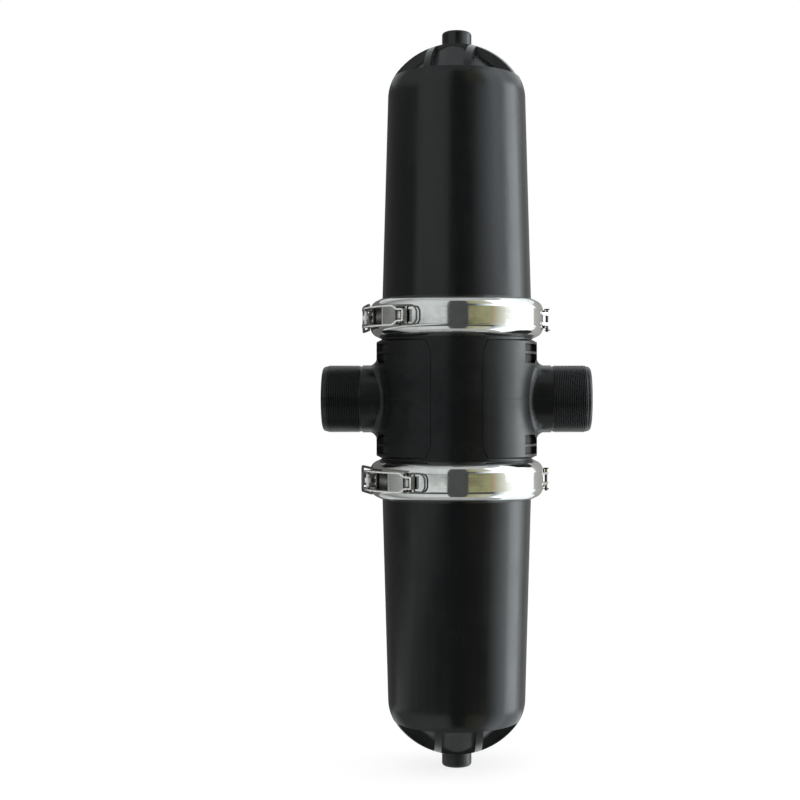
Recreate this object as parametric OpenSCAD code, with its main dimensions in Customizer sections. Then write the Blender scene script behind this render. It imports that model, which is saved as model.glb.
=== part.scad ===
// Twin screen irrigation filter: a ported centre body, two domed housings held by band clamps, two screens.
// Millimetres. Z is the filter's long axis, X the port axis, and the origin is where they cross.

/* [Centre body] */
// Outside diameter of the barrel
body_d = 196.6; // [192:0.2:202]
// Wall thickness of the barrel
body_wall = 8; // [7:0.5:9]
// Height of each clamp plane above or below the port axis
clamp_z = 104.4; // [103:0.2:110]
// How far a port saddle stands out past the barrel at the side
saddle_rise = 6.8; // [5:0.2:8]
// Half height of the full part of a saddle
saddle_half_h = 73.8; // [72:0.2:75]
// Distance of a saddle's front edge from the middle plane
saddle_edge_x = 33; // [28:1:38]
// Thickness of the fins between the pockets of a saddle
fin_t = 3; // [2:0.5:4]
// Width of the upright rib in the middle of the pockets
side_rib_w = 22; // [14:1:30]

/* [Ports] */
// Outside diameter of the smooth neck of a port
port_d = 87.9; // [86.5:0.1:90]
// Diameter at the root of the pipe thread
port_root_d = 84.9; // [82:0.1:86]
// Distance from the middle to the end face of a port
port_reach = 175; // [170:1:190]
// Length of the threaded part of a port
port_thread_len = 52; // [44:1:52]
// Bore of a port
port_bore_d = 72; // [64:1:74]
// Radius of the blend between a port and its saddle
port_blend = 11; // [8:0.5:12]
// Radius of the rounded end of a port
port_end_round = 5; // [2:0.5:5]

/* [Housings] */
// Outside diameter of a housing beside its clamp
housing_base_d = 194.8; // [190:0.2:197]
// Outside diameter of a housing where the dome begins
housing_tip_d = 180; // [176:1:186]
// Wall thickness of a housing
housing_wall = 7; // [6:0.5:8]
// Length of a housing from the clamp plane to the dome
housing_len = 287.6; // [250:0.2:320]
// Radius of the dome's knuckle
dome_knuckle = 55; // [52:1:58]
// Height of the dome
dome_h = 71.7; // [68:0.1:76]
// Diameter of the sharp rim round the dome pockets
pocket_d = 166; // [160:1:168]
// Width of the ledge inside that rim
pocket_ledge = 12; // [8:1:14]
// Diameter of the plain crown inside the pockets
crown_d = 58; // [52:1:64]
// Thickness of the dome ribs
dome_rib_t = 9; // [6:0.5:11]
// Distance between the two ribs of a pair, middle to middle
dome_rib_gap = 52; // [46:1:58]
// Turn of the upper rib grid about the long axis
upper_rib_turn = -9.4; // [-45:0.1:45]
// Turn of the lower rib grid about the long axis
lower_rib_turn = 2.4; // [-45:0.1:45]
// Outside diameter of the flush boss
boss_d = 38.6; // [35:0.2:42]
// Height of the flush boss above the crown
boss_h = 16.2; // [10:0.2:20]
// Thread bore of the flush boss
flush_bore_d = 24.1; // [20:0.1:26]

/* [Flanges and seals] */
// How far the flanges inside each clamp stand out past the barrel
flange_rise = 7.7; // [7:0.1:8]
// Section diameter of the seal ring between two flanges
flange_seal_d = 4.4; // [3.6:0.2:5]
// Section diameter of the seal rings on a screen
screen_seal_d = 3.6; // [3.2:0.2:4]

/* [Screens] */
// Outside diameter of a screen frame
screen_d = 110; // [104:1:111]
// Height of an end ring of the frame
end_ring_h = 18; // [15:1:22]
// Number of upright ribs
screen_ribs = 8; // [6:1:10]
// Number of window rows
screen_rows = 6; // [4:1:8]
// Width of an upright rib
screen_rib_w = 10; // [7:0.5:13]
// Height of a ring bar between two rows
screen_bar_h = 6.5; // [4:0.5:9]
// Wall thickness of the frame
frame_wall = 3.5; // [3:0.25:4]
// Thickness of the screen cloth
cloth_t = 0.5; // [0.4:0.1:0.8]

/* [Clamps] */
// Thickness of the clamp band
band_t = 2; // [1.6:0.1:2.2]
// Half height of the straight wall of the band
band_flat = 11; // [10:0.5:12]
// Slope of the band's shoulders
shoulder_angle = 25; // [22:1:28]
// Outside radius of the bend between wall and shoulder
band_bend = 13; // [12:0.5:14]
// How far the band reaches in past its wall
band_bite = 13.8; // [12.6:0.2:14]
// Gap between the ends of the two halves
split_gap = 3.2; // [2.4:0.2:4]
// Turn of the upper clamp about the long axis
upper_clamp_turn = 0; // [-10:0.5:10]
// Turn of the lower clamp about the long axis
lower_clamp_turn = 5.5; // [-10:0.5:10]
// Distance of the hinge axis from the band
hinge_stand = 5.4; // [5:0.2:7]
// Diameter of the hinge pin
hinge_pin_d = 3.6; // [3:0.1:4]

/* [Latches] */
// Width of the lever
lever_w = 26; // [24:0.5:28]
// Sheet thickness of the lever
lever_t = 2; // [1.6:0.1:2.2]
// Angle of the lever pivot, from the front toward the left
pivot_angle = 76; // [74:0.5:78]
// Distance of the lever pivot from the band
pivot_stand = 7.5; // [7:0.1:8.5]
// Diameter of the lever pin
lever_pin_d = 5; // [4:0.2:6]
// Distance from the lever pivot to the bail pivot
lever_throw = 14.8; // [13:0.2:16]
// Angle of the keeper's hook, from the front toward the left
keeper_angle = 96; // [95:0.5:98]
// Distance of the bail's bar from the band
bail_stand = 10.5; // [9.5:0.1:12]
// Wire diameter of the bail
bail_wire_d = 3.4; // [3:0.1:3.8]
// Wire diameter of the pull ring
ring_wire_d = 2.4; // [2:0.1:3]
// Length of the pull ring
ring_len = 21; // [18:0.5:24]

/* [Hidden] */
$fn = 96;
slide_gap = 0.3;
seat_gap = 0.1;
pin_gap = 0.05;
hook_gap = 1.2;

body_r = body_d / 2;
body_in_r = body_r - body_wall;
port_r = port_d / 2;
port_root_r = port_root_d / 2;
port_bore_r = port_bore_d / 2;
base_r = housing_base_d / 2;
flange_r = max(body_r, base_r) + flange_rise;

// The band: its wall clears the flange rim, and its shoulders bear on the sloped flange backs
band_air = 5;
band_r = flange_r + band_air + band_t;
bend_mid = [band_r - band_bend, band_flat];
shoulder_out = 90 - shoulder_angle;
shoulder_way = [-cos(shoulder_angle), sin(shoulder_angle)];
inner_bend = band_bend - band_t;
inner_start = bend_mid + inner_bend * [cos(shoulder_out), sin(shoulder_out)];
function flange_back(r) =
    inner_start.y + (inner_start.x - r) * tan(shoulder_angle) - 2 * slide_gap / cos(shoulder_angle);

// Saddles: a cylinder set off towards each port, so that it runs out near the front with a small step
saddle_r = body_r + saddle_rise;
saddle_step = 0.8;
saddle_front_y = sqrt(pow(body_r, 2) - pow(saddle_edge_x, 2)) + saddle_step;
saddle_c = (pow(saddle_r, 2) - pow(saddle_front_y, 2) - pow(saddle_edge_x, 2))
    / (2 * (saddle_r - saddle_edge_x));
pad_r = saddle_r - saddle_c;
saddle_chamfer = 4.4;
saddle_top = saddle_half_h + saddle_chamfer;
saddle_flare = 8;
fin_z = 59.5;
pocket_front_x = 87;
pocket_floor_r = body_r + 0.4;

// Housings and domes
tip_r = housing_tip_d / 2;
dome_z0 = clamp_z + housing_len;
knuckle_mid_r = tip_r - dome_knuckle;
dome_crown = (pow(knuckle_mid_r, 2) + pow(dome_h, 2) - pow(dome_knuckle, 2))
    / (2 * (dome_h - dome_knuckle));
crown_drop = dome_crown - dome_h;
crown_turn = atan2(crown_drop, knuckle_mid_r);
join_r = dome_crown * cos(crown_turn);
function dome_height(r) =
    r < join_r ? sqrt(pow(dome_crown, 2) - r * r) - crown_drop
    : sqrt(pow(dome_knuckle, 2) - pow(r - knuckle_mid_r, 2));
cavity_drop = 15;
boss_top = dome_z0 + dome_h + boss_h;
boss_round = 3.5;
pocket_r = pocket_d / 2;
crown_r = crown_d / 2;
rim_step = 0.8;
crown_step = 1.5;
rim_z = dome_z0 + dome_height(pocket_r) - rim_step;
crown_z = dome_z0 + dome_height(crown_r) - crown_step;

// Screens and their seats
screen_r = screen_d / 2;
socket_gap = 1.2;
socket_r = screen_r + socket_gap;
socket_wall = 5.3;
seat_over_port = 4;
socket_over_ring = 4;
ledge_w = 5;
seat_z = port_bore_r + seat_over_port;
socket_depth = end_ring_h + socket_over_ring;
ledge_r = screen_r - ledge_w;
cavity_crown = dome_crown - housing_wall;
cavity_at_socket = sqrt(pow(cavity_crown, 2) - pow(socket_r, 2)) - crown_drop - cavity_drop;
far_seat_drop = 9;
far_seat_z = dome_z0 + cavity_at_socket - far_seat_drop;
screen_z0 = seat_z + slide_gap;
screen_len = far_seat_z - seat_z - 2 * slide_gap;
frame_in_r = screen_r - frame_wall;
ring_lip = 10;
screen_seal_r = screen_seal_d / 2;
screen_seal_mid = socket_r - pin_gap - screen_seal_r;
flange_seal_r = flange_seal_d / 2;
flange_seal_mid = (body_in_r + flange_r) / 2;

// Latch points in the clamp's plane: angles run from the front (-Y) toward the left (-X)
function at(r, angle) = [-r * sin(angle), -r * cos(angle)];
function angle_of(p) = atan2(-p.x, -p.y);
gap_angle = asin(split_gap / 2 / band_r);
hinge = [band_r + hinge_stand, 0];
pivot_r = band_r + pivot_stand;
pivot = at(pivot_r, pivot_angle);
throw_angle = 2 * asin(lever_throw / 2 / pivot_r);
bail_pivot = at(pivot_r, pivot_angle - throw_angle);
hook = at(band_r + bail_stand, keeper_angle);
bail_len = norm(hook - bail_pivot);
bail_turn = atan2(hook.y - bail_pivot.y, hook.x - bail_pivot.x);
bail_r = bail_wire_d / 2;
roll_r = 2.2;
roll = hook + (bail_pivot - hook) / bail_len * (bail_r + roll_r + hook_gap);
keeper_w = 17;
lever_stand = 2.6;
lever_rise = 8.4;
lever_in = band_r + lever_stand;
lever_out = lever_in + lever_rise;
lever_half = lever_w / 2;
web_start = pivot_angle - 27;
web_end = pivot_angle - 38;
tip_angle = web_end - 1;
tip_half = 8;
tip_taper = 9;
tip_reach = 9.5;
eye_r = 5.4;
ear_t = 2.2;
ear_out = lever_half - lever_t - slide_gap;
wire_end = 0.5;
ring_r = ring_wire_d / 2;
ring_tilt = 12;
ring_hole = [4, -(lever_in + 4)];
ring_half = lever_half - 1;
ring_pivot = [
    ring_hole.x * cos(tip_angle) + ring_hole.y * sin(tip_angle),
    ring_hole.y * cos(tip_angle) - ring_hole.x * sin(tip_angle)
];
lug_wall = 2.2;
lug_r = hinge_pin_d / 2 + lug_wall;
lug_h = 3.2;
front_lug_z = 5;
rear_lug_z = front_lug_z + lug_h + slide_gap;
pin_end_z = rear_lug_z + lug_h + slide_gap;

black = "#1b1c1e";
red = "#b8121c";
cloth_grey = "#8f8a80";
rubber_black = "#101010";
steel = "#c9cdd2";

// Shared shapes

// Children in the upper half for side 1, mirrored to the lower half for side -1
module on_side(side) {
    if (side > 0) children();
    else mirror([0, 0, 1]) children();
}

// Children in the plane of the upper or the lower clamp
module at_clamp(side) {
    translate([0, 0, side * clamp_z])
        rotate([0, 0, side > 0 ? upper_clamp_turn : lower_clamp_turn])
            children();
}

// A section turned about the long axis, between two angles from the front toward the left
module sector(from, to) {
    rotate([0, 0, 270 - to]) rotate_extrude(angle = to - from) children();
}

// A rectangle of a turned section
module block(r0, r1, z0, z1) {
    translate([r0, z0]) square([r1 - r0, z1 - z0]);
}

// Plan of a ring piece between two angles
module ring_plan(r0, r1, from, to) {
    far = 2 * r1;
    intersection() {
        difference() {
            circle(r1);
            circle(r0);
        }
        polygon([[0, 0], at(far, from), at(far, to)]);
    }
}

// A wire bent to a U: two legs, a closing bar, and ends turned in towards each other at the pivot
module wire_u(len, half, end, r, near, far) {
    translate([len, 0, 0]) cylinder(r = r, h = 2 * (half - far), center = true);
    for (side = [1, -1]) on_side(side) {
        translate([0, 0, end]) cylinder(r = r, h = half - near - end);
        translate([near, 0, half]) rotate([0, 90, 0]) cylinder(r = r, h = len - near - far);
        for (bend = [[near, near, 90], [len - far, far, 0]])
            translate([bend.x, 0, half - bend.y]) rotate([90, 0, 0]) rotate([0, 0, bend.z])
                rotate_extrude(angle = 90) translate([bend.y, 0]) circle(r);
    }
}

// Centre body

// One port with its neck, thread root and rounded end, along +X
module port() {
    neck_end = port_reach - port_thread_len;
    rotate([0, 90, 0]) rotate_extrude() {
        block(0, port_r, 0, neck_end);
        block(0, port_root_r, 0, port_reach - port_end_round);
        block(0, port_root_r - port_end_round, 0, port_reach);
        translate([port_root_r - port_end_round, port_reach - port_end_round]) circle(port_end_round);
    }
}

// One row of the blend between port and saddle: an arc from the port wall to the saddle, then the corner
blend_steps = 6;
blend_turns = 40;
blend_sink = 0.4;
blend_root = 3;
function blend_row(a) =
    let (
        wall = port_r - blend_sink,
        pad = pad_r - blend_sink,
        inner = port_r - blend_root,
        inner_pad = pad_r - blend_root,
        y = (wall + port_blend) * sin(a),
        z = (wall + port_blend) * cos(a),
        x = sqrt(pow(pad + port_blend, 2) - y * y),
        ball = [saddle_c + x, y, z],
        on_port = [saddle_c + x, wall * sin(a), wall * cos(a)],
        on_pad = [saddle_c + x * pad / (pad + port_blend), y * pad / (pad + port_blend), z],
        u = (on_port - ball) / port_blend,
        v = (on_pad - ball) / port_blend,
        w = acos(u * v),
        in_pad = [saddle_c + x * inner_pad / (pad + port_blend), y * inner_pad / (pad + port_blend), z],
        in_corner = [
            saddle_c + sqrt(pow(inner_pad, 2) - pow(inner * sin(a), 2)), inner * sin(a), inner * cos(a)
        ],
        in_port = [saddle_c + x, inner * sin(a), inner * cos(a)]
    )
    concat(
        [for (i = [0 : blend_steps])
            ball + port_blend * (sin((1 - i / blend_steps) * w) * u + sin(i / blend_steps * w) * v) / sin(w)],
        [in_pad, in_corner, in_port]
    );

module port_blend_ring() {
    rows = [for (j = [0 : blend_turns - 1]) blend_row(360 * j / blend_turns)];
    width = len(rows[0]);
    function spot(j, k) = (j % blend_turns) * width + k % width;
    polyhedron(
        points = [for (row = rows) each row],
        faces = [
            for (j = [0 : blend_turns - 1], k = [0 : width - 1])
                each [
                    [spot(j, k), spot(j, k + 1), spot(j + 1, k)],
                    [spot(j, k + 1), spot(j + 1, k + 1), spot(j + 1, k)]
                ]
        ]
    );
}

// One saddle with its pockets, on the +X side
module saddle() {
    end_r = pad_r - 1.25 * saddle_rise;
    pocket_y = sqrt(pow(pad_r, 2) - pow(pocket_front_x - saddle_c, 2));
    difference() {
        intersection() {
            translate([saddle_c, 0, 0]) rotate_extrude()
                polygon([
                    [0, -saddle_top], [end_r, -saddle_top], [pad_r, -saddle_half_h],
                    [pad_r, saddle_half_h], [end_r, saddle_top], [0, saddle_top]
                ]);
            translate([0, body_d, 0]) rotate([90, 0, 0]) linear_extrude(2 * body_d)
                polygon([
                    [saddle_edge_x, -fin_z], [saddle_edge_x, fin_z],
                    [saddle_edge_x + saddle_flare, saddle_top], [body_d, saddle_top],
                    [body_d, -saddle_top], [saddle_edge_x + saddle_flare, -saddle_top]
                ]);
        }
        difference() {
            for (side = [1, -1], face = [1, -1]) on_side(side) {
                translate([0, face > 0 ? side_rib_w / 2 : -pocket_y, fin_z + fin_t / 2])
                    cube([body_d, pocket_y - side_rib_w / 2, saddle_half_h - fin_z - 1.5 * fin_t]);
                translate([0, face > 0 ? side_rib_w / 2 : -pocket_y, port_r + 2])
                    cube([body_d, pocket_y - side_rib_w / 2, fin_z - port_r - 2 - fin_t / 2]);
            }
            cylinder(r = pocket_floor_r, h = 2 * body_d, center = true);
        }
    }
}

// The turned wall of the body with a sloped flange at each end
module body_wall_section() {
    rim = clamp_z - flange_back(flange_r);
    neck = clamp_z - flange_back(body_r);
    polygon([
        [body_in_r, -clamp_z], [flange_r, -clamp_z], [flange_r, -rim], [body_r, -neck],
        [body_r, neck], [flange_r, rim], [flange_r, clamp_z], [body_in_r, clamp_z]
    ]);
}

// The space inside the spool: a through bore, with a socket for a screen at each end
module spool_space() {
    cylinder(r = ledge_r, h = 4 * clamp_z, center = true);
    for (side = [1, -1]) on_side(side) translate([0, 0, seat_z]) cylinder(r = socket_r, h = socket_depth + 1);
}

module center_body() {
    spool_r = socket_r + socket_wall;
    mid_wall_r = body_in_r + body_wall / 2;
    duct_wall = 5;
    web_t = 6;
    groove = flange_seal_d + 2 * pin_gap;
    groove_half = groove / 2 + slide_gap;
    color(black) difference() {
        union() {
            rotate_extrude() body_wall_section();
            difference() {
                for (side = [0, 1]) mirror([side, 0, 0]) {
                    saddle();
                    port();
                    port_blend_ring();
                }
                cylinder(r = mid_wall_r, h = 4 * clamp_z, center = true);
            }
            cylinder(r = spool_r, h = 2 * (seat_z + socket_depth), center = true);
            translate([-mid_wall_r, 0, 0]) rotate([0, 90, 0])
                cylinder(r = port_bore_r + duct_wall, h = mid_wall_r - ledge_r / 2);
            cube([web_t, 2 * mid_wall_r, 2 * seat_z], center = true);
        }
        spool_space();
        translate([-port_reach - 1, 0, 0]) rotate([0, 90, 0])
            cylinder(r = port_bore_r, h = port_reach - ledge_r / 2);
        translate([spool_r + duct_wall, 0, 0]) rotate([0, 90, 0]) cylinder(r = port_bore_r, h = port_reach);
        for (side = [1, -1]) on_side(side)
            translate([0, 0, clamp_z - groove]) rotate_extrude()
                block(flange_seal_mid - groove_half, flange_seal_mid + groove_half, 0, groove + 1);
    }
}

// Housings

// Filled half section of a dome that starts at height z0
module dome_section(z0, knuckle, crown) {
    far = 2 * crown;
    intersection() {
        block(0, far, z0 - far, z0 + far);
        union() {
            translate([knuckle_mid_r, z0]) circle(knuckle);
            intersection() {
                translate([0, z0 - crown_drop]) circle(crown);
                polygon([
                    [0, z0 - crown_drop], [0, z0 + far],
                    [far * cos(crown_turn), z0 - crown_drop + far * sin(crown_turn)]
                ]);
            }
        }
    }
}

// Half section of a housing with its flange, wall, dome and flush boss
module housing_section() {
    boss_r = boss_d / 2;
    cavity_z = dome_z0 - cavity_drop;
    difference() {
        union() {
            polygon([
                [0, clamp_z], [flange_r, clamp_z], [flange_r, clamp_z + flange_back(flange_r)],
                [base_r, clamp_z + flange_back(base_r)], [tip_r, dome_z0], [0, dome_z0]
            ]);
            dome_section(dome_z0, dome_knuckle, dome_crown);
            block(0, boss_r, dome_z0, boss_top - boss_round);
            block(0, boss_r - boss_round, dome_z0, boss_top);
            translate([boss_r - boss_round, boss_top - boss_round]) circle(boss_round);
        }
        polygon([
            [0, clamp_z - 1], [base_r - housing_wall, clamp_z - 1],
            [base_r - housing_wall, clamp_z + flange_back(base_r)],
            [tip_r - housing_wall, cavity_z], [0, cavity_z]
        ]);
        dome_section(cavity_z, dome_knuckle - housing_wall, cavity_crown);
        block(0, flush_bore_d / 2, dome_z0, boss_top + 1);
    }
}

// Half section of the collar inside the dome that holds the outer end of a screen
module collar_section() {
    top = dome_z0 - cavity_drop + sqrt(pow(cavity_crown, 2) - pow(ledge_r, 2)) - crown_drop + 2;
    out = socket_r + socket_wall;
    polygon([
        [socket_r, far_seat_z - socket_depth], [out, far_seat_z - socket_depth], [out, top],
        [ledge_r, top], [ledge_r, far_seat_z], [socket_r, far_seat_z]
    ]);
}

// The pockets of the dome: a turned cut, with two pairs of crossing ribs left standing
module dome_pockets() {
    top = boss_top + 1;
    difference() {
        rotate_extrude()
            polygon([
                [crown_r, crown_z], [pocket_r - pocket_ledge, rim_z], [pocket_r, rim_z],
                [pocket_r, top], [crown_r, top]
            ]);
        for (turn = [0, 90], face = [1, -1]) rotate([0, 0, turn])
            translate([face * dome_rib_gap / 2 - dome_rib_t / 2, -pocket_r - 1, dome_z0])
                cube([dome_rib_t, 2 * pocket_r + 2, top - dome_z0 + 1]);
    }
}

module housing(side) {
    color(black) on_side(side) difference() {
        rotate_extrude() union() {
            housing_section();
            collar_section();
        }
        rotate([0, 0, side > 0 ? upper_rib_turn : lower_rib_turn]) dome_pockets();
    }
}

module flange_seal(side) {
    color(rubber_black) on_side(side)
        translate([0, 0, clamp_z - flange_seal_r - pin_gap]) rotate_extrude()
            translate([flange_seal_mid, 0]) circle(flange_seal_r);
}

// Screens

// Half section of one end ring, with its end face at height 0 and the frame above it
module end_ring_section() {
    mid = end_ring_h / 2;
    groove_half = screen_seal_r + slide_gap;
    groove_r = screen_seal_mid - screen_seal_r - pin_gap;
    polygon([
        [ledge_r - 0.5, 0], [screen_r, 0], [screen_r, mid - groove_half], [groove_r, mid - groove_half],
        [groove_r, mid + groove_half], [screen_r, mid + groove_half], [screen_r, end_ring_h],
        [frame_in_r, end_ring_h], [frame_in_r, ring_lip], [ledge_r - 0.5, ring_lip]
    ]);
}

module screen_frame(side) {
    pitch = (screen_len - 2 * end_ring_h + screen_bar_h) / screen_rows;
    rib_angle = screen_rib_w / screen_r * 180 / PI;
    rib_over = 2;
    step = 0.2;
    color(red) on_side(side) translate([0, 0, screen_z0]) {
        rotate_extrude() end_ring_section();
        translate([0, 0, screen_len]) mirror([0, 0, 1]) rotate_extrude() end_ring_section();
        for (row = [1 : screen_rows - 1])
            translate([0, 0, end_ring_h + row * pitch - screen_bar_h]) rotate_extrude()
                block(frame_in_r, screen_r - 2 * step, 0, screen_bar_h);
        for (i = [0 : screen_ribs - 1])
            translate([0, 0, end_ring_h - rib_over]) rotate([0, 0, 360 / screen_ribs * i])
                rotate_extrude(angle = rib_angle)
                    block(frame_in_r + step, screen_r - step, 0, screen_len - 2 * end_ring_h + 2 * rib_over);
    }
}

module screen_cloth(side) {
    out_r = frame_in_r - seat_gap;
    color(cloth_grey) on_side(side) translate([0, 0, screen_z0 + ring_lip + seat_gap]) rotate_extrude()
        block(out_r - cloth_t, out_r, 0, screen_len - 2 * (ring_lip + seat_gap));
}

module screen_seal(side, z) {
    color(rubber_black) on_side(side) translate([0, 0, z]) rotate_extrude()
        translate([screen_seal_mid, 0]) circle(screen_seal_r);
}

module inner_seal(side) screen_seal(side, screen_z0 + end_ring_h / 2);

module outer_seal(side) screen_seal(side, screen_z0 + screen_len - end_ring_h / 2);

// Clamps

// Filled half section under one face of the band: straight wall, two bends and two sloping shoulders
module band_fill(bend) {
    start = bend_mid + bend * [cos(shoulder_out), sin(shoulder_out)];
    end = start + 2 * band_bite * shoulder_way;
    block(bend_mid.x, bend_mid.x + bend, -band_flat, band_flat);
    for (side = [1, -1]) translate([bend_mid.x, side * band_flat]) circle(bend);
    polygon([start, end, [end.x, -end.y], [start.x, -start.y]]);
}

// Section of the band, cut off square at the inner ends of its shoulders
module band_section() {
    intersection() {
        difference() {
            band_fill(band_bend);
            band_fill(inner_bend);
        }
        block(band_r - band_bite, band_r + band_t, -band_r, band_r);
    }
}

// The two hinge lugs of a half, at heights z and -z; face is -1 for the front half and 1 for the rear half
module hinge_lugs(face, z) {
    foot = band_r - band_t / 2;
    for (side = [1, -1]) on_side(side)
        translate([0, 0, z]) difference() {
            linear_extrude(lug_h) {
                translate(hinge) circle(lug_r);
                polygon([
                    hinge + [-lug_r / 2, 0], [foot * cos(2 * gap_angle), face * foot * sin(2 * gap_angle)],
                    [foot * cos(9), face * foot * sin(9)], hinge + lug_r * [cos(45), face * sin(45)]
                ]);
            }
            translate([hinge.x, hinge.y, -1]) cylinder(d = hinge_pin_d + 2 * pin_gap, h = lug_h + 2);
        }
}

module front_band(side) {
    color(steel) at_clamp(side) {
        sector(-90 + gap_angle, 90 - gap_angle) band_section();
        hinge_lugs(-1, front_lug_z);
    }
}

module rear_band(side) {
    color(steel) at_clamp(side) {
        sector(90 + gap_angle, 270 - gap_angle) band_section();
        hinge_lugs(1, rear_lug_z);
    }
}

// Hinge pin with a flat head above and a cross hole for the split pin below
pin_tail = 4.5;
split_r = 0.7;
split_z = -pin_end_z - pin_tail / 2;
module hinge_pin(side) {
    head_h = 1.6;
    color(steel) at_clamp(side) translate(hinge) difference() {
        union() {
            translate([0, 0, -pin_end_z - pin_tail]) cylinder(d = hinge_pin_d, h = 2 * pin_end_z + pin_tail);
            translate([0, 0, pin_end_z]) cylinder(r = lug_r - 0.4, h = head_h);
        }
        translate([0, 0, split_z]) rotate([90, 0, 0])
            cylinder(r = split_r + pin_gap, h = 4 * lug_r, center = true);
    }
}

module split_pin(side) {
    eye_mid = 1.9;
    leg = 2 * lug_r;
    color(steel) at_clamp(side) translate([hinge.x, hinge.y, split_z]) {
        rotate([90, 0, 0]) cylinder(r = split_r, h = leg, center = true);
        translate([0, -leg / 2 - eye_mid, 0]) rotate_extrude() translate([eye_mid, 0]) circle(split_r);
    }
}

// Latches

// Hook plate on the rear half: a foot, a short post and a rolled edge for the bail
module keeper(side) {
    post_half = 0.65;
    roll_angle = angle_of(roll);
    foot_in = band_r + seat_gap;
    color(steel) at_clamp(side) {
        sector(roll_angle - 1.4, roll_angle + 13)
            block(foot_in, foot_in + lever_t, -keeper_w / 2, keeper_w / 2);
        translate([0, 0, -keeper_w / 2]) linear_extrude(keeper_w) {
            translate(roll) circle(roll_r);
            polygon([
                at(foot_in + lever_t / 2, roll_angle - post_half), at(norm(roll), roll_angle - post_half),
                at(norm(roll), roll_angle + post_half), at(foot_in + lever_t / 2, roll_angle + post_half)
            ]);
        }
    }
}

// Bracket on the front half: a foot and two ears that carry the lever pin
module lever_bracket(side) {
    foot_in = band_r + seat_gap;
    foot_mid = foot_in + lever_t / 2;
    eye_angle = asin(eye_r / pivot_r) * 0.9;
    color(steel) at_clamp(side) {
        sector(pivot_angle - 8, pivot_angle + 8) block(foot_in, foot_in + lever_t, -ear_out, ear_out);
        for (side = [1, -1]) on_side(side)
            translate([0, 0, ear_out - ear_t]) difference() {
                linear_extrude(ear_t) {
                    translate(pivot) circle(eye_r);
                    polygon([
                        at(foot_mid, pivot_angle - 6), at(pivot_r, pivot_angle - eye_angle),
                        at(pivot_r, pivot_angle + eye_angle), at(foot_mid, pivot_angle + 6)
                    ]);
                }
                translate([pivot.x, pivot.y, -1]) cylinder(d = lever_pin_d + 2 * pin_gap, h = ear_t + 2);
            }
    }
}

module lever_pin(side) {
    collar_h = 6;
    color(steel) at_clamp(side) translate(pivot) {
        cylinder(d = lever_pin_d, h = lever_w - 2 * seat_gap, center = true);
        cylinder(r = lever_pin_d / 2 + 2, h = collar_h, center = true);
    }
}

// Plan of the lever's free end, drawn in by an inset, with the tip towards +X
module tip_plan(inset) {
    wide = lever_half - seat_gap - inset;
    narrow = tip_half - inset;
    end = tip_reach - inset;
    polygon([
        [-tip_taper, wide], [0, narrow], [end, narrow], [end, -narrow], [0, -narrow], [-tip_taper, -wide]
    ]);
}

module lever(side) {
    edge_roll = 0.85 * lever_t;
    past_eye = 20;
    color(steel) at_clamp(side) difference() {
        union() {
            difference() {
                linear_extrude(lever_w, center = true) {
                    ring_plan(lever_in, lever_out, web_end, pivot_angle);
                    translate(pivot) circle(eye_r);
                }
                linear_extrude(lever_w - 2 * lever_t, center = true) {
                    circle(lever_out - lever_t);
                    ring_plan(lever_in / 2, 2 * lever_out, web_start, pivot_angle + past_eye);
                }
            }
            translate(at(lever_out - lever_t / 2, web_start))
                cylinder(r = edge_roll, h = lever_w - lever_t, center = true);
            rotate([0, 0, -tip_angle]) difference() {
                translate([0, -lever_in, 0]) rotate([90, 0, 0])
                    linear_extrude(lever_rise) tip_plan(0);
                translate([0, -lever_in - lever_t, 0]) rotate([90, 0, 0])
                    linear_extrude(lever_out) tip_plan(lever_t);
            }
        }
        translate(pivot) cylinder(d = lever_pin_d + 2 * pin_gap, h = 2 * lever_w, center = true);
        translate(bail_pivot) cylinder(r = bail_r + pin_gap, h = 2 * lever_w, center = true);
        translate(ring_pivot) cylinder(r = ring_r + pin_gap, h = 2 * lever_w, center = true);
    }
}

// Wire bail: pivots on the lever, and its bar lies behind the keeper's rolled edge
module bail(side) {
    corner = 1.6 * bail_r;
    half = lever_half + slide_gap + corner;
    color(steel) at_clamp(side) translate(bail_pivot) rotate([0, 0, bail_turn])
        wire_u(bail_len, half, lever_half - lever_t - wire_end, bail_r, corner, corner);
}

module pull_ring(side) {
    near = 3;
    far = 8.5;
    color(steel) at_clamp(side) translate(ring_pivot) rotate([0, 0, ring_tilt - tip_angle])
        wire_u(ring_len, ring_half, tip_half - lever_t - wire_end, ring_r, near, far);
}

center_body();
housing(1);  // upper_housing
housing(-1);  // lower_housing
flange_seal(1);  // upper_flange_seal
flange_seal(-1);  // lower_flange_seal
screen_frame(1);  // upper_screen_frame
screen_frame(-1);  // lower_screen_frame
screen_cloth(1);  // upper_screen_cloth
screen_cloth(-1);  // lower_screen_cloth
inner_seal(1);  // upper_inner_seal
inner_seal(-1);  // lower_inner_seal
outer_seal(1);  // upper_outer_seal
outer_seal(-1);  // lower_outer_seal
rear_band(1);  // upper_rear_band
rear_band(-1);  // lower_rear_band
hinge_pin(1);  // upper_hinge_pin
hinge_pin(-1);  // lower_hinge_pin
split_pin(1);  // upper_split_pin
split_pin(-1);  // lower_split_pin
keeper(1);  // upper_keeper
keeper(-1);  // lower_keeper
front_band(1);  // upper_front_band
front_band(-1);  // lower_front_band
lever_bracket(1);  // upper_lever_bracket
lever_bracket(-1);  // lower_lever_bracket
lever_pin(1);  // upper_lever_pin
lever_pin(-1);  // lower_lever_pin
lever(1);  // upper_lever
lever(-1);  // lower_lever
bail(1);  // upper_bail
bail(-1);  // lower_bail
pull_ring(1);  // upper_pull_ring
pull_ring(-1);  // lower_pull_ring
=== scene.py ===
import math

import bpy
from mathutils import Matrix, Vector
from mathutils.bvhtree import BVHTree


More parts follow.
